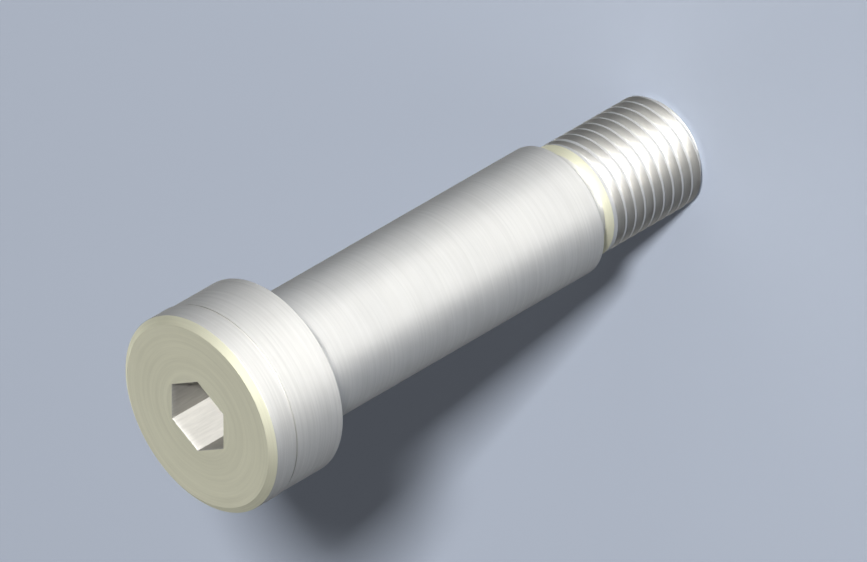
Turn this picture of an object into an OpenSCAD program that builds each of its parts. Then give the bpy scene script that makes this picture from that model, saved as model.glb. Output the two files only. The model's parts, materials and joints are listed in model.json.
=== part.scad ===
// Socket head shoulder bolt, in millimetres.
// A turned and ground bolt in one piece. It stands on its threaded end at z = 0, with the
// bolt's axis along +Z and the head on top. Two flats of the socket face along X.

/* [Head] */
// Diameter of the head's front band
head_d = 24; // [20:0.25:36]
// Height of the head
head_h = 11; // [9:0.25:16]
// Height of the front band, chamfer included
band_h = 3.5; // [1.5:0.1:8]
// Depth of the step behind the front band, on the radius
band_step = 0.11; // [0.05:0.01:0.5]
// Radius of the fine round groove turned in the corner of that step
groove_r = 0.15; // [0.05:0.01:0.3]
// Width of the chamfer round the face, on the radius
face_chamfer_w = 0.88; // [0.2:0.02:2]
// Height of the chamfer round the face
face_chamfer_h = 0.6; // [0.2:0.02:1.4]
// Broken edge under the head, on the radius and the height
head_edge = 0.2; // [0.1:0.05:1]

/* [Socket] */
// Width of the hexagon socket across its flats
socket_af = 8.05; // [5:0.05:12]
// Depth of the socket's flat walls
socket_depth = 7; // [4:0.1:10]
// Included angle of the drill point below the walls
drill_angle = 120; // [90:1:150]

/* [Shoulder] */
// Diameter of the ground shoulder
shoulder_d = 16; // [14.5:0.1:19]
// Length of the shoulder, from the head to its end face
shoulder_len = 45; // [16:1:120]
// Broken edge at the shoulder's end face
shoulder_edge = 0.2; // [0.1:0.05:1]
// Depth of the grinding relief under the head, on the radius
relief_depth = 0.3; // [0.15:0.05:1]
// Length of the grinding relief under the head
relief_len = 2; // [1.5:0.1:5]

/* [Thread] */
// Outer diameter of the thread
thread_d = 13.8; // [12.6:0.1:15.4]
// Length from the shoulder's end face to the bolt's tip
thread_len = 17.4; // [10:0.2:40]
// Length and depth of the chamfer at the tip
tip_chamfer = 1; // [0.4:0.1:2]
// Diameter of the neck between the shoulder and the thread
neck_d = 11.9; // [8:0.1:13]
// Length of the neck's straight part
neck_len = 2; // [1.2:0.1:5]
// Radius of the fillet between the neck and the shoulder's end face
neck_fillet = 1; // [0.3:0.05:1.5]
// Angle of the cone where the thread starts, from the bolt's axis
start_angle = 60; // [30:1:75]

/* [Hidden] */
$fn = 96;

head_r = head_d / 2;
head_rear_r = head_r - band_step;
shoulder_r = shoulder_d / 2;
relief_r = shoulder_r - relief_depth;
thread_r = thread_d / 2;
neck_r = neck_d / 2;

shoulder_z = thread_len;
head_z = shoulder_z + shoulder_len;
relief_z = head_z - relief_len;
face_z = head_z + head_h;
band_z = face_z - band_h;
neck_z = shoulder_z - neck_len;
start_cone_h = (thread_r - neck_r) / tan(start_angle);
thread_z = neck_z - start_cone_h;

socket_r = socket_af / 2;
socket_corner_r = socket_r / cos(30);
socket_floor_z = face_z - socket_depth;
drill_h = socket_r / tan(drill_angle / 2);
cut_over = 1;

// Half section of the head: a front band with a chamfered face, a slightly thinner rear, and
// a fine groove between them whose floor runs out into the step
module head_half() {
    difference() {
        polygon([
            [0, head_z],
            [head_rear_r - head_edge, head_z],
            [head_rear_r, head_z + head_edge],
            [head_rear_r, band_z],
            [head_r, band_z],
            [head_r, face_z - face_chamfer_h],
            [head_r - face_chamfer_w, face_z],
            [0, face_z]
        ]);
        translate([head_rear_r, band_z - groove_r])
            circle(groove_r, $fn = 32);
    }
}

// Half section of the shoulder, before the relief is turned in it
module shoulder_half() {
    polygon([
        [0, shoulder_z],
        [shoulder_r - shoulder_edge, shoulder_z],
        [shoulder_r, shoulder_z + shoulder_edge],
        [shoulder_r, head_z],
        [0, head_z]
    ]);
}

// What the relief takes out of the shoulder: a sloped run-in, a straight floor and a round
// corner at the head, whose centre lies on the shoulder's own radius
module relief_half() {
    polygon([
        [shoulder_r + cut_over, relief_z],
        [shoulder_r, relief_z],
        [relief_r, relief_z + relief_depth],
        [relief_r, head_z - relief_depth],
        [shoulder_r + cut_over, head_z - relief_depth]
    ]);
    translate([shoulder_r, head_z - relief_depth])
        circle(relief_depth, $fn = 32);
}

// Half section of the neck, with the fillet that joins it to the shoulder's end face
module neck_half() {
    translate([0, neck_z])
        square([neck_r, neck_len]);
    difference() {
        translate([neck_r, shoulder_z - neck_fillet])
            square(neck_fillet);
        translate([neck_r + neck_fillet, shoulder_z - neck_fillet])
            circle(neck_fillet);
    }
}

// Half section of the threaded end at its outer diameter, from the tip's chamfer to the cone at the neck
module thread_half() {
    polygon([
        [0, 0],
        [thread_r - tip_chamfer, 0],
        [thread_r, tip_chamfer],
        [thread_r, thread_z],
        [neck_r, neck_z],
        [0, neck_z]
    ]);
}

// The turned blank: every section above, revolved about the bolt's axis
module turned_blank() {
    rotate_extrude() {
        head_half();
        difference() {
            shoulder_half();
            relief_half();
        }
        neck_half();
        thread_half();
    }
}

// The hexagon socket with its corners along Y, and the drill point below it
module socket() {
    translate([0, 0, socket_floor_z])
        rotate([0, 0, 30])
            linear_extrude(socket_depth + cut_over)
                circle(socket_corner_r, $fn = 6);
    translate([0, 0, socket_floor_z - drill_h])
        cylinder(h = drill_h, r1 = 0, r2 = socket_r);
}

module shoulder_bolt() {
    color([0.72, 0.72, 0.68])
        difference() {
            turned_blank();
            socket();
        }
}

shoulder_bolt();
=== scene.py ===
# %% [markdown]
# # A socket head shoulder bolt
#
# A shoulder bolt is turned from one bar of steel. Its shoulder is ground to an exact
# diameter for a lever or a roller to turn on, its head takes a hexagon key, and a thinner
# thread holds it. This lesson makes it the way a workshop does: turn a blank, press the
# socket, thread the end. Then it gives each surface the finish that its tool leaves.

import json
import math

import bmesh
import bpy
from mathutils import Matrix, Vector


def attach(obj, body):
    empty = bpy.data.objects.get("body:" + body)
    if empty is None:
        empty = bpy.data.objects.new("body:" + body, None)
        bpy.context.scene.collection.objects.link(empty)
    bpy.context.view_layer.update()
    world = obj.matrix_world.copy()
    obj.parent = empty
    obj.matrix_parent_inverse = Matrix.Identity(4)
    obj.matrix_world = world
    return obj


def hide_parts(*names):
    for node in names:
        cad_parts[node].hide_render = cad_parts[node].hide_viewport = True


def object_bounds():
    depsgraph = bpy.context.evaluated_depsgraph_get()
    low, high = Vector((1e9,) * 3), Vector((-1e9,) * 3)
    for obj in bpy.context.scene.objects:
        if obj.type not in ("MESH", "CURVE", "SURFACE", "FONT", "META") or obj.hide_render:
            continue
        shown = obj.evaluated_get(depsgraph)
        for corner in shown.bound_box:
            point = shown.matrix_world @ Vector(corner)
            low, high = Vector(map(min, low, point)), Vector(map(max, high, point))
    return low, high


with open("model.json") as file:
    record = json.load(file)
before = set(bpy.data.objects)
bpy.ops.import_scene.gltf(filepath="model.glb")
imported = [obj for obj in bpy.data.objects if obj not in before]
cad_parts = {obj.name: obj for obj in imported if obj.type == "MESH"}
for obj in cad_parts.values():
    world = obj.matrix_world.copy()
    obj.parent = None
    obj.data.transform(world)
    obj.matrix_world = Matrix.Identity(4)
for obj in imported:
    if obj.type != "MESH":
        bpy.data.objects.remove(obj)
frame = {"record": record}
cad_lo, cad_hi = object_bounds()
print("The solid reaches from", tuple(cad_lo), "to", tuple(cad_hi))

# %% [markdown]
# ## The camera
#
# The picture to match is an isometric view: the camera looks along (-1, -1, -1), and the
# bolt's Y axis points up in the picture. A camera's rotation is three columns, its right,
# its up and its back, so they can be written down as they are, with no angles to guess.
# An isometric view has no perspective, so the lens is very long and the camera far away.

# %% Place the camera
PICTURE_W = 867  # pixels
PIXELS_PER_M = 8976.0
LENS_MM = 1050.0
SENSOR_MM = 36.0
AIM = Vector((0.0, -0.00011, 0.03651))  # what the middle of the picture shows, in metres

back = Vector((1, 1, 1)).normalized()
right = Vector((0, 1, 0)).cross(back).normalized()
up = back.cross(right)
camera_data = bpy.data.cameras.new("camera")
camera_data.sensor_width = SENSOR_MM
camera_data.lens = LENS_MM
camera = bpy.data.objects.new("camera", camera_data)
bpy.context.scene.collection.objects.link(camera)
picture_width = PICTURE_W / PIXELS_PER_M
distance = picture_width * LENS_MM / SENSOR_MM
turn = Matrix((right, up, back)).transposed()
camera.matrix_world = Matrix.Translation(AIM + back * distance) @ turn.to_4x4()
camera_data.clip_end = 2 * distance
bpy.context.scene.camera = camera
print(f"The camera stands {distance:.2f} m away and its picture is {picture_width:.4f} m wide")

# %% [markdown]
# ## Sizes
#
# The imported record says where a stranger's part would touch this one, so the main sizes
# are read from it. What no mount gives, such as a chamfer, is a named value here, in
# millimetres like a drawing, and MM turns it into the metres that the scene is in.

# %% Read the main sizes
MM = 0.001
mounts = {mount["name"]: mount for mount in frame["record"]["mounts"]}
head_r = cad_hi.x
face_z = cad_hi.z
shoulder_r = mounts["shoulder"]["dims"]["r_mm"] * MM
thread_r = mounts["thread"]["dims"]["r_mm"] * MM
shoulder_z = mounts["shoulder_stop"]["pos_m"][2]
head_z = mounts["underhead_seat"]["pos_m"][2]
print(f"Head {2 * head_r / MM:.1f}, shoulder {2 * shoulder_r / MM:.1f} mm across")

# %% Name the small sizes
BAND_H = 3.5 * MM
BAND_STEP = 0.11 * MM
GROOVE_R = 0.15 * MM
FACE_CHAMFER_W = 0.88 * MM
FACE_CHAMFER_H = 0.6 * MM
HEAD_EDGE = 0.2 * MM
SHOULDER_EDGE = 0.2 * MM
RELIEF_DEPTH = 0.3 * MM
RELIEF_LEN = 2 * MM
NECK_R = 5.95 * MM
NECK_LEN = 2 * MM
NECK_FILLET = 1 * MM
START_ANGLE = math.radians(60)
TIP_CHAMFER = 1 * MM
SOCKET_R = 4.025 * MM
SOCKET_DEPTH = 7 * MM
DRILL_ANGLE = math.radians(120)
print(f"Neck {2 * NECK_R / MM:.1f} mm across, socket {2 * SOCKET_R / MM:.2f} mm across flats")

# %% [markdown]
# ## The turned blank
#
# A lathe leaves a solid of revolution, so the blank is half an outline spun round Z. Each
# corner of the outline carries the radius that the tool or the file gives it. A vertex
# bevel rounds it before the spin, which is cheaper and cleaner than a bevel on the solid.
# The face is left open here, because the socket will be joined to its rim.

# %% Work out where the outline turns
neck_z = shoulder_z - NECK_LEN
thread_z = neck_z - (thread_r - NECK_R) / math.tan(START_ANGLE)
relief_z = head_z - RELIEF_LEN
band_z = face_z - BAND_H
rear_r = head_r - BAND_STEP
rim_r = head_r - FACE_CHAMFER_W
print(f"The cone starts at {thread_z / MM:.2f} mm, the front band at {band_z / MM:.1f} mm")

# %% List the corners of the half outline
BROKEN = 0.05 * MM  # the rounding of a corner that looks sharp
CONE_FOOT = 3 * BROKEN  # the rounding where the cone meets the neck
BAND_BREAK = BROKEN / 2  # the rounding of the front band's rear corner
outline = [  # radius, height and rounding of each corner, from the tip to the face
    (0, 0, 0),
    (thread_r - TIP_CHAMFER, 0, BROKEN),
    (thread_r, TIP_CHAMFER, 0),
    (thread_r, thread_z, 0),
    (NECK_R, neck_z, CONE_FOOT),
    (NECK_R, shoulder_z, NECK_FILLET),
    (shoulder_r - SHOULDER_EDGE, shoulder_z, BROKEN),
    (shoulder_r, shoulder_z + SHOULDER_EDGE, BROKEN),
    (shoulder_r, relief_z, BROKEN),
    (shoulder_r - RELIEF_DEPTH, relief_z + RELIEF_DEPTH, BROKEN),
    (shoulder_r - RELIEF_DEPTH, head_z, RELIEF_DEPTH),
    (rear_r - HEAD_EDGE, head_z, BROKEN),
    (rear_r, head_z + HEAD_EDGE, BROKEN),
    (rear_r, band_z - 2 * GROOVE_R, 0),
    (rear_r - GROOVE_R, band_z - 2 * GROOVE_R, GROOVE_R),
    (rear_r - GROOVE_R, band_z, GROOVE_R),
    (head_r, band_z, BAND_BREAK),
    (head_r, face_z - FACE_CHAMFER_H, BROKEN),
    (rim_r, face_z, 0),
]
print("The half outline has", len(outline), "corners")

# %% Join them and round them
ROUNDING_STEPS = 3
FILLET_STEPS = 10
blank = bmesh.new()
corners = [blank.verts.new((radius, 0, height)) for radius, height, _ in outline]
for low, high in zip(corners, corners[1:]):
    blank.edges.new((low, high))
for corner, (_, _, rounding) in zip(corners, outline):
    if rounding:
        bmesh.ops.bevel(
            blank, geom=[corner], offset=rounding, offset_type="OFFSET",
            segments=FILLET_STEPS if rounding == NECK_FILLET else ROUNDING_STEPS,
            profile=0.5, affect="VERTICES", material=-1,
        )
print("With its corners rounded it has", len(blank.verts), "points")

# %% Spin it
SEGMENTS = 144
SAME_POINT = 0.0001 * MM  # points closer than this are one point
bmesh.ops.spin(
    blank, geom=blank.verts[:] + blank.edges[:], cent=(0, 0, 0), axis=(0, 0, 1),
    dvec=(0, 0, 0), angle=2 * math.pi, steps=SEGMENTS, use_merge=True,
)
bmesh.ops.remove_doubles(blank, verts=blank.verts, dist=SAME_POINT)
print("The blank has", len(blank.faces), "faces")

# %% [markdown]
# ## The socket
#
# A six-sided punch is pressed into the face over a drilled hole. The socket could be cut
# with a boolean, but the rim of the blank already has a point every 2.5 degrees, so each
# ring of the socket is the ring before it, extruded and pulled onto a new outline: the
# hexagon for the mouth and the walls, a circle for the drill. The walls are plain quads.

# %% Describe the two outlines
SIXTH = math.pi / 3


def hexagon(flat_r):
    """The distance from the axis to a hexagon whose flats face X, by angle."""
    return lambda angle: flat_r / math.cos((angle + SIXTH / 2) % SIXTH - SIXTH / 2)


def circle(radius):
    """The same for a circle."""
    return lambda angle: radius


print(f"A corner of the socket is {hexagon(SOCKET_R)(SIXTH / 2) / MM:.2f} mm from the axis")


# %% Pull a new ring out of an open one
def open_edges(bm):
    """The edges that have a face on one side only."""
    return [edge for edge in bm.edges if len(edge.link_faces) == 1]


def next_ring(bm, height, outline_at):
    """Extrudes the open ring of the blank to a height and pulls it onto an outline."""
    made = bmesh.ops.extrude_edge_only(bm, edges=open_edges(bm))["geom"]
    for vert in (item for item in made if isinstance(item, bmesh.types.BMVert)):
        angle = math.atan2(vert.co.y, vert.co.x)
        radius = outline_at(angle)
        vert.co = (radius * math.cos(angle), radius * math.sin(angle), height)


print("The rim of the face has", len(open_edges(blank)), "edges")

# %% Press the socket
MOUTH_BREAK = 0.05 * MM
drill_z = face_z - SOCKET_DEPTH
point_z = drill_z - SOCKET_R / math.tan(DRILL_ANGLE / 2)
next_ring(blank, face_z, hexagon(SOCKET_R + MOUTH_BREAK))
next_ring(blank, face_z - MOUTH_BREAK, hexagon(SOCKET_R))
next_ring(blank, drill_z, hexagon(SOCKET_R))
next_ring(blank, drill_z, circle(SOCKET_R))
next_ring(blank, point_z, circle(0))
bmesh.ops.remove_doubles(blank, verts=blank.verts, dist=SAME_POINT)
bmesh.ops.recalc_face_normals(blank, faces=blank.faces)
print(f"The socket ends {(face_z - point_z) / MM:.1f} mm down")
print(f"The blank has {blank.calc_volume() / MM ** 3:.0f} mm3")
print("Edges left open:", len(open_edges(blank)))

# %% [markdown]
# ## The thread
#
# A bolt's thread is rolled: hard dies press a V-shaped groove round the bar. The groove is
# what is modelled here, not the ridge: one V section swept along a helix by a spin with a
# dvec, which lifts each step a little. A boolean then takes it away from the blank. It
# starts below the tip, so the chamfer gets its half thread by itself, and over the last
# half turn it is lifted out of the steel, as the dies leave it. The cone at the neck stays
# whole, as the picture shows it.

# %% Name the thread's sizes
PITCH = 1.5 * MM
ROOT_R = 6.05 * MM
ROOT_SHARE = 0.9  # the rounding in the root, as a share of half its width
CREST_FLAT = 0.28 * MM
FLANK = math.radians(30)
ABOVE = 0.08 * MM  # how far the cutter stands out of the steel
TURNS = 10
CONE_GAP = 0.25 * MM  # from the end of the groove's middle line to the cone
end_z = thread_z - CONE_GAP
start_z = end_z - TURNS * PITCH
print(f"The groove is {(thread_r - ROOT_R) / MM:.2f} mm deep and starts at {start_z / MM:.2f} mm")

# %% Draw the cutter's section
half_top = (PITCH - CREST_FLAT) / 2
half_root = half_top - (thread_r - ROOT_R) * math.tan(FLANK)
half_above = half_top + ABOVE * math.tan(FLANK)
groove = bmesh.new()
section = [
    groove.verts.new((radius, 0, start_z + height))
    for radius, height in [
        (ROOT_R, -half_root),
        (thread_r + ABOVE, -half_above),
        (thread_r + ABOVE, half_above),
        (ROOT_R, half_root),
    ]
]
for one, other in zip(section, section[1:] + section[:1]):
    groove.edges.new((one, other))
bmesh.ops.bevel(
    groove, geom=[section[0], section[3]], offset=ROOT_SHARE * half_root,
    offset_type="OFFSET", segments=ROUNDING_STEPS, profile=0.5, affect="VERTICES", material=-1,
)
print("The cutter's section has", len(groove.verts), "points")

# %% Sweep it along the helix
bmesh.ops.spin(
    groove, geom=groove.verts[:] + groove.edges[:], cent=(0, 0, 0), axis=(0, 0, 1),
    dvec=(0, 0, PITCH / SEGMENTS), angle=2 * math.pi, steps=SEGMENTS,
)
one_turn = groove.verts[:] + groove.edges[:] + groove.faces[:]
for turn_number in range(1, TURNS):
    copied = bmesh.ops.duplicate(groove, geom=one_turn)["geom"]
    bmesh.ops.translate(
        groove, vec=(0, 0, turn_number * PITCH),
        verts=[item for item in copied if isinstance(item, bmesh.types.BMVert)],
    )
bmesh.ops.remove_doubles(groove, verts=groove.verts, dist=SAME_POINT)
bmesh.ops.holes_fill(groove, edges=open_edges(groove), sides=0)
bmesh.ops.recalc_face_normals(groove, faces=groove.faces)
print(f"The cutter makes {TURNS} turns, with {len(open_edges(groove))} open edges")

# %% Let it run out
RUN_OUT_TURNS = 0.5
RUN_OUT_ANGLE = math.radians(225)  # where the groove ends, on the side away from the camera
lift = thread_r - ROOT_R + ABOVE
for vert in groove.verts:
    part_turn = math.atan2(vert.co.y, vert.co.x) / (2 * math.pi) % 1
    whole_turns = round((vert.co.z - start_z) / PITCH - part_turn)
    turns_left = TURNS - whole_turns - part_turn
    if turns_left < RUN_OUT_TURNS:
        outwards = Vector((vert.co.x, vert.co.y, 0)).normalized()
        vert.co += outwards * lift * (1 - turns_left / RUN_OUT_TURNS)
bmesh.ops.rotate(
    groove, verts=groove.verts, cent=(0, 0, 0), matrix=Matrix.Rotation(RUN_OUT_ANGLE, 3, "Z"),
)
print(f"The groove ends {(shoulder_z - end_z) / MM:.1f} mm from the shoulder")


# %% Make objects of both
def as_object(bm, name):
    """Puts a bmesh in a new object at the origin."""
    mesh = bpy.data.meshes.new(name)
    bm.to_mesh(mesh)
    bm.free()
    made = bpy.data.objects.new(name, mesh)
    bpy.context.scene.collection.objects.link(made)
    return made


bolt = as_object(blank, "bolt")
cutter = as_object(groove, "thread_cutter")
print("The cutter has", len(cutter.data.polygons), "faces")


# %% Cut the thread
def apply_modifiers(piece):
    """Gives a piece the mesh that its modifiers make, and takes them off it."""
    evaluated = piece.evaluated_get(bpy.context.evaluated_depsgraph_get())
    made = bpy.data.meshes.new_from_object(evaluated)
    piece.modifiers.clear()
    piece.data = made


cut = bolt.modifiers.new("thread", "BOOLEAN")
cut.operation = "DIFFERENCE"
cut.object = cutter
cut.solver = "MANIFOLD"
apply_modifiers(bolt)
bpy.data.objects.remove(cutter)
print("The threaded bolt has", len(bolt.data.polygons), "faces")

# %% Check that it is closed
check = bmesh.new()
check.from_mesh(bolt.data)
bmesh.ops.remove_doubles(check, verts=check.verts, dist=SAME_POINT)
volume = check.calc_volume()
unpaired = sum(len(edge.link_faces) != 2 for edge in check.edges)
triangles = sum(len(face.verts) - 2 for face in check.faces)
check.to_mesh(bolt.data)
check.free()
print(f"Volume {volume / MM ** 3:.0f} mm3, {unpaired} open edges, {triangles} triangles")

# %% [markdown]
# ## Shading
#
# A face that is nearly in line with the next one is shaded smooth, and an edge that turns
# sharply stays sharp. The boolean leaves long thin faces beside large ones, and plain smooth
# shading would tilt the large ones towards them. Normals weighted by area keep a cylinder's
# highlight straight, and they cost no extra faces.

# %% Shade it
SMOOTH_BELOW = math.radians(30)
bolt.data.shade_smooth()
bolt.data.set_sharp_from_angle(angle=SMOOTH_BELOW)
weighted = bolt.modifiers.new("normals", "WEIGHTED_NORMAL")
weighted.mode = "FACE_AREA"
weighted.keep_sharp = True
apply_modifiers(bolt)
print(sum(edge.use_edge_sharp for edge in bolt.data.edges), "edges stay sharp")

# %% Give it to the frame
bolt.name = "shoulder_bolt_detailed"
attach(bolt, "root")
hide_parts("shoulder_bolt")
print(bolt.name, "stands for the solid shoulder_bolt")

# %% [markdown]
# ## The finishes
#
# The bolt is bare steel all over, so what tells its surfaces apart is the tool that made
# each one. A lathe leaves fine rings, a grinding wheel leaves finer ones, the thread is
# rolled smooth, and the punch drags its marks down the walls of the socket. Each finish is
# the same metal with its own marks. The face, its chamfer and the cone at the neck are a
# little warmer. The thread and the socket are painted a little brighter, as painted light that
# makes up for the shade on the thread's flanks and inside the socket. The marks could be
# painted as an image, but noise that is squeezed across the marks gives them at any distance.

# %% Mix the steel
WHITE_STEEL = (0.64, 0.625, 0.585)
# painted light: a brighter copy of the steel for the thread and the socket, which lifts the shade
# on the thread's flanks and inside the socket
PAINTED_LIGHT_STEEL = (0.73, 0.715, 0.675)
WARM_STEEL = (0.82, 0.81, 0.65)
EDGE_TINT = 0.05  # steel darkens where it is seen at a grazing angle


def steel_nodes(name):
    """A new material with its node tree and its shader, set to plain steel."""
    material = bpy.data.materials.new(name)
    material.use_nodes = True
    tree = material.node_tree
    shader = tree.nodes["Principled BSDF"]
    shader.inputs["Metallic"].default_value = 1
    shader.inputs["Specular Tint"].default_value = (EDGE_TINT, EDGE_TINT, EDGE_TINT, 1)
    return material, tree, shader


print("The steel reflects", WHITE_STEEL, "where it is turned and", WARM_STEEL, "on its face")

# %% [markdown]
# ## Marks round the bolt and along it
#
# The noise reads Object coordinates, which here are metres, so a finish asks for so many
# cells of noise in a millimetre. Many cells one way and few the other make a streak. Tool
# marks run round the bolt on every turned surface, be it a cylinder, a face or the chamfer
# between them. Height less radius grows steadily across all three, so one rule serves all
# that the lathe and the wheel have cut.

# %% Scale the coordinates
PER_MM = 1 / MM


def vector_math(tree, operation, vector, factors=None):
    """One step of arithmetic on a vector, by fixed factors where it needs them."""
    node = tree.nodes.new("ShaderNodeVectorMath")
    node.operation = operation
    tree.links.new(vector, node.inputs[0])
    if factors:
        node.inputs[1].default_value = factors
    return node.outputs["Value" if operation == "LENGTH" else "Vector"]


def plain_marks(tree, *per_mm):
    """Object coordinates with so many noise cells in a millimetre along each axis."""
    where = tree.nodes.new("ShaderNodeTexCoord").outputs["Object"]
    return vector_math(tree, "MULTIPLY", where, [cells * PER_MM for cells in per_mm])


print(f"One cell of noise in a millimetre is a scale of {PER_MM:.0f}")


# %% Run the marks round the bolt
def value_math(tree, operation, first, second):
    """One step of arithmetic on two values."""
    node = tree.nodes.new("ShaderNodeMath")
    node.operation = operation
    tree.links.new(first, node.inputs[0])
    tree.links.new(second, node.inputs[1])
    return node.outputs["Value"]


def round_marks(tree, per_mm, along=0.08):
    """A vector for marks that run round the bolt: cells in a millimetre across and along."""
    where = tree.nodes.new("ShaderNodeTexCoord").outputs["Object"]
    parts = tree.nodes.new("ShaderNodeSeparateXYZ")
    tree.links.new(where, parts.inputs["Vector"])
    radius = vector_math(tree, "LENGTH", vector_math(tree, "MULTIPLY", where, (1, 1, 0)))
    across = value_math(tree, "SUBTRACT", parts.outputs["Z"], radius)
    joined = tree.nodes.new("ShaderNodeCombineXYZ")
    tree.links.new(across, joined.inputs["X"])
    tree.links.new(parts.outputs["X"], joined.inputs["Y"])
    tree.links.new(parts.outputs["Y"], joined.inputs["Z"])
    cells = (per_mm * PER_MM, along * PER_MM, along * PER_MM)
    return vector_math(tree, "MULTIPLY", joined.outputs["Vector"], cells)


chamfer_rise = (FACE_CHAMFER_H + FACE_CHAMFER_W) / MM
print(f"Over the chamfer, height less radius grows by {chamfer_rise:.2f} mm")

# %% Make the noise
NOISE_DETAIL = 5
NOISE_ROUGHNESS = 0.6


def noise(tree, vector):
    """A noise texture that reads a vector already at its own scale."""
    node = tree.nodes.new("ShaderNodeTexNoise")
    node.inputs["Scale"].default_value = 1
    node.inputs["Detail"].default_value = NOISE_DETAIL
    node.inputs["Roughness"].default_value = NOISE_ROUGHNESS
    tree.links.new(vector, node.inputs["Vector"])
    return node.outputs["Fac"]


print("Each noise has a detail of", NOISE_DETAIL, "and a roughness of", NOISE_ROUGHNESS)

# %% Spread it over a range
NOISE_LOW, NOISE_HIGH = 0.3, 0.7  # a noise hardly leaves this range


def spread(tree, value, low, high):
    """Maps a noise onto a range."""
    node = tree.nodes.new("ShaderNodeMapRange")
    node.inputs["From Min"].default_value = NOISE_LOW
    node.inputs["From Max"].default_value = NOISE_HIGH
    node.inputs["To Min"].default_value = low
    node.inputs["To Max"].default_value = high
    tree.links.new(value, node.inputs["Value"])
    return node.outputs["Result"]


print(f"A noise from {NOISE_LOW} to {NOISE_HIGH} is spread over the range that a finish needs")

# %% [markdown]
# ## One finish
#
# A mark is a tiny groove, so it shows three times: as relief, as a rougher line, and as
# painted shade, with the colour darker in its groove and lighter on its ridge. Large soft
# patches come on top, because no bar is the same all over.

# %% Say how much the marks and patches show
UM = 0.001 * MM
ROUGH_SHARE = 0.6  # how much of the marks' contrast goes into the roughness
PATCHES_PER_MM = 0.25
PATCH_ROUGHNESS = 0.012
PATCH_SHADE = 0.015
QUARTER_TURN = 0.25  # turns the brushed highlight across the marks
print(f"A patch is about {1 / PATCHES_PER_MM:.0f} mm across")


# %% Write one finish
def finish(name, colour, marks_of, depth_um, contrast, roughness, anisotropy):
    """Steel with the marks of one tool: their depth, and how much they show in the colour."""
    material, tree, shader = steel_nodes(name)
    marks = noise(tree, marks_of(tree))
    patches = noise(tree, plain_marks(tree, PATCHES_PER_MM, PATCHES_PER_MM, PATCHES_PER_MM))

    bump = tree.nodes.new("ShaderNodeBump")
    bump.inputs["Strength"].default_value = 1
    bump.inputs["Distance"].default_value = depth_um * UM
    tree.links.new(marks, bump.inputs["Height"])
    tree.links.new(bump.outputs["Normal"], shader.inputs["Normal"])

    varied = value_math(
        tree, "ADD", spread(tree, marks, ROUGH_SHARE * contrast, -ROUGH_SHARE * contrast),
        spread(tree, patches, roughness - PATCH_ROUGHNESS, roughness + PATCH_ROUGHNESS),
    )
    tree.links.new(varied, shader.inputs["Roughness"])

    # painted shade: the marks make the colour darker in their grooves and lighter on their
    # ridges, and the patches vary the tone at random
    shade = value_math(
        tree, "ADD", spread(tree, marks, 1 - contrast, 1 + contrast),
        spread(tree, patches, -PATCH_SHADE, PATCH_SHADE),
    )
    tint = tree.nodes.new("ShaderNodeVectorMath")
    tint.operation = "SCALE"
    tint.inputs["Vector"].default_value = colour
    tree.links.new(shade, tint.inputs["Scale"])
    tree.links.new(tint.outputs["Vector"], shader.inputs["Base Color"])
    shader.inputs["Anisotropic"].default_value = anisotropy
    shader.inputs["Anisotropic Rotation"].default_value = QUARTER_TURN
    print(f"{name}: {len(tree.nodes)} nodes")
    return material


# %% Make the finishes
turned = finish(
    "turned_head", WHITE_STEEL, lambda tree: round_marks(tree, per_mm=3),
    depth_um=4, contrast=0.07, roughness=0.63, anisotropy=0.5,
)
ground = finish(
    "ground_shoulder", WHITE_STEEL, lambda tree: round_marks(tree, per_mm=4),
    depth_um=2, contrast=0.05, roughness=0.58, anisotropy=0.5,
)
# the thread's steel is painted brighter, as painted light on its shaded flanks
rolled = finish(
    "rolled_thread", PAINTED_LIGHT_STEEL, lambda tree: round_marks(tree, per_mm=4, along=0.4),
    depth_um=1.5, contrast=0.03, roughness=0.5, anisotropy=0.5,
)
# the socket's steel is painted brighter, as painted light inside the recess
pressed = finish(
    "pressed_socket", PAINTED_LIGHT_STEEL, lambda tree: plain_marks(tree, 3, 3, 0.3),
    depth_um=3, contrast=0.06, roughness=0.75, anisotropy=0.65,
)
faced = finish(
    "faced_face", WARM_STEEL, lambda tree: round_marks(tree, per_mm=3),
    depth_um=3, contrast=0.04, roughness=0.45, anisotropy=0.0,
)
chamfered = finish(
    "turned_chamfer", WARM_STEEL, lambda tree: round_marks(tree, per_mm=4),
    depth_um=3, contrast=0.03, roughness=0.65, anisotropy=0.0,
)

# %% Tell the zones apart
FACES_UP = 0.99  # the least rise of a normal that points up
BELOW_FACE = 0.001 * MM
mouth_r = hexagon(SOCKET_R + MOUTH_BREAK)(SIXTH / 2)
chamfer_z = face_z - FACE_CHAMFER_H


def zone_of(face):
    """The finish of a face, from the place of its middle and the way that it faces."""
    middle = face.center
    radius = math.hypot(middle.x, middle.y)
    if thread_z < middle.z < neck_z:
        return chamfered
    if middle.z < shoulder_z:
        return rolled
    if middle.z < head_z:
        return ground
    if radius < mouth_r and middle.z < face_z - BELOW_FACE:
        return pressed
    if face.normal.z > FACES_UP and middle.z > chamfer_z:
        return faced
    if middle.z > chamfer_z:
        return chamfered
    return turned


print(f"The socket lies within {mouth_r / MM:.2f} mm of the axis")

# %% Give each zone its finish
ZONES = [turned, ground, rolled, pressed, faced, chamfered]
bolt.data.materials.clear()
for material in ZONES:
    bolt.data.materials.append(material)
for face in bolt.data.polygons:
    face.material_index = ZONES.index(zone_of(face))
for number, material in enumerate(ZONES):
    count = sum(face.material_index == number for face in bolt.data.polygons)
    print(f"{material.name}: {count} faces")

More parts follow.
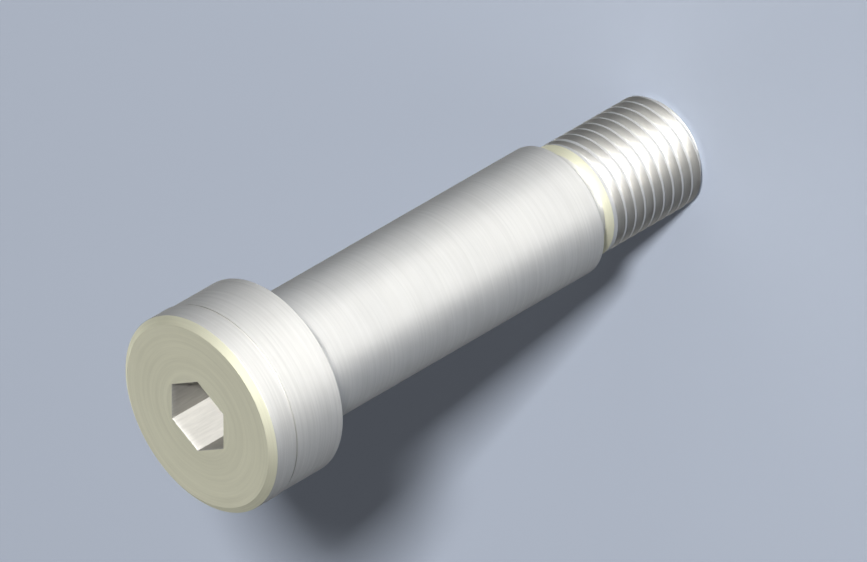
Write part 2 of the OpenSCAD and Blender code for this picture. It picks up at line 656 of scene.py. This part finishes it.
# %% [markdown]
# ## The floor and the room
#
# Bare steel has little colour of its own: it shows the room. So the floor and the world
# belong to its look as much as the finish does. The floor is a plain pale blue grey disc. It
# has to end somewhere, so the world has its colour at the horizon, and its edge hardly
# shows. Above that the world fades to a dark ceiling, which leaves the shadow dark and gives
# the steel something to stand out against. An image of a studio would do the same, but two
# colours and a fade are enough here.

# %% Lay the floor
FLOOR_R = 6.0
FLOOR_CORNERS = 96
FLOOR_BLUE = (0.42, 0.465, 0.55)
FLOOR_ROUGHNESS = 0.9
floor_mesh = bmesh.new()
bmesh.ops.create_circle(floor_mesh, cap_ends=True, radius=FLOOR_R, segments=FLOOR_CORNERS)
floor = as_object(floor_mesh, "floor")
floor_paint = bpy.data.materials.new("floor")
floor_paint.use_nodes = True
floor_shader = floor_paint.node_tree.nodes["Principled BSDF"]
floor_shader.inputs["Base Color"].default_value = (*FLOOR_BLUE, 1)
floor_shader.inputs["Roughness"].default_value = FLOOR_ROUGHNESS
floor_shader.inputs["Specular IOR Level"].default_value = 0
floor.data.materials.append(floor_paint)
print(f"The floor is {2 * FLOOR_R:.0f} m across")

# %% Make the world
CEILING = (0.02, 0.02, 0.021)
CEILING_FROM = 0.2  # the height of a direction, from 0 at the horizon to 1 straight up
world = bpy.data.worlds.new("studio")
bpy.context.scene.world = world
world.use_nodes = True
sky = world.node_tree
facing = sky.nodes.new("ShaderNodeTexCoord")
parts = sky.nodes.new("ShaderNodeSeparateXYZ")
sky.links.new(facing.outputs["Generated"], parts.inputs["Vector"])
rise = sky.nodes.new("ShaderNodeMapRange")
rise.inputs["From Max"].default_value = CEILING_FROM
sky.links.new(parts.outputs["Z"], rise.inputs["Value"])
fade = sky.nodes.new("ShaderNodeMix")
fade.data_type = "RGBA"
fade.inputs["A"].default_value = (*FLOOR_BLUE, 1)
fade.inputs["B"].default_value = (*CEILING, 1)
sky.links.new(rise.outputs["Result"], fade.inputs["Factor"])
sky.links.new(fade.outputs["Result"], sky.nodes["Background"].inputs["Color"])
print(f"The world fades over the first {math.degrees(math.asin(CEILING_FROM)):.0f} degrees")

# %% [markdown]
# ## The lamps
#
# A cylinder shows a lamp as a streak along its side, halfway round from the eye to the lamp,
# and half as wide as the lamp. One small key lamp, high on the camera's side, throws the
# shadow. A larger one there would widen the streak but wash the shadow out. So the width
# comes from strips that stand low around the bolt: the brushed steel still picks them up,
# and they hardly reach the floor. The one at the rear does the same for a look at the bolt
# from behind. The flat face mirrors one spot behind the bolt, where the last lamp stands.
# The numbers are azimuth and elevation in degrees, and sizes in metres.

# %% Make one lamp
LAMP_REACH = 3.0


def softbox(name, azimuth, elevation, width, height, white):
    """An area lamp aimed at the bolt. Its face is so many times as bright as white."""
    around, above = math.radians(azimuth), math.radians(elevation)
    towards = Vector((
        math.cos(around) * math.cos(above), math.sin(around) * math.cos(above), math.sin(above),
    ))
    lamp = bpy.data.lights.new(name, "AREA")
    lamp.shape = "RECTANGLE"
    lamp.size, lamp.size_y = width, height
    lamp.energy = white * math.pi * width * height
    made = bpy.data.objects.new(name, lamp)
    made.location = AIM + towards * LAMP_REACH
    made.rotation_mode = "QUATERNION"
    made.rotation_quaternion = towards.to_track_quat("Z", "Y")
    made.visible_camera = False
    bpy.context.scene.collection.objects.link(made)
    print(f"{name}: {lamp.energy:.0f} W")


print(f"Every lamp hangs {LAMP_REACH:.0f} m from the bolt")

# %% Hang the lamps
LOW = 3.6  # the strips' elevation
STRIP_H = 0.37
softbox("key", azimuth=53, elevation=38, width=0.27, height=0.27, white=545)
softbox("front strip", azimuth=20, elevation=LOW, width=1.3, height=STRIP_H, white=24)
softbox("side strip", azimuth=80, elevation=LOW, width=1.3, height=STRIP_H, white=18)
softbox("far strip", azimuth=110, elevation=LOW, width=2.6, height=STRIP_H, white=7.5)
softbox("rear strip", azimuth=-150, elevation=LOW, width=2.0, height=STRIP_H, white=9)
softbox("back", azimuth=-128, elevation=24, width=1.6, height=1.6, white=1.4)

bpy.context.scene.view_settings.view_transform = "Standard"
